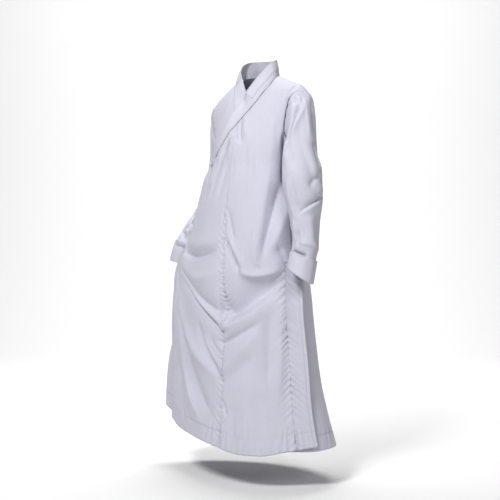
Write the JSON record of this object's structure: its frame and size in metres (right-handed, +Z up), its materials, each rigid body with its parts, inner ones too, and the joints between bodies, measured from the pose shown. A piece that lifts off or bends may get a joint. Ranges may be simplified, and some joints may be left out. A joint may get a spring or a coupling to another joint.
{
  "type": "kung fu robe",
  "caption": "Long cross-collar robe in worn form, hollow, with closed seams, turned-back cuffs, an open left slit and a knot closure under the right arm.",
  "frame": {"origin": "centre of the neck base, level with the neck ends of the shoulder seams", "axes": "+Z up, the wearer faces -Y, the wearer's left is +X"},
  "size_m": [0.7517, 0.4571, 1.4347],
  "materials": {
    "robe_cloth": "plain weave poly-cotton, faint sheen",
    "collar_cloth": "plain weave poly-cotton, doubled and stitched"
  },
  "bodies": {
    "root": {"back_panel": "robe_cloth", "front_left_panel": "robe_cloth", "front_left_side_strip": "robe_cloth", "front_overlap_panel": "robe_cloth", "under_front_panel": "robe_cloth", "left_sleeve": "robe_cloth", "right_sleeve": "robe_cloth", "left_cuff": "robe_cloth", "right_cuff": "robe_cloth", "collar_band": "collar_cloth", "under_collar_band": "collar_cloth", "collar_guard": "collar_cloth", "under_collar_guard": "collar_cloth", "closure_knot": "collar_cloth", "closure_loop": "collar_cloth"}
  },
  "joints": []
}
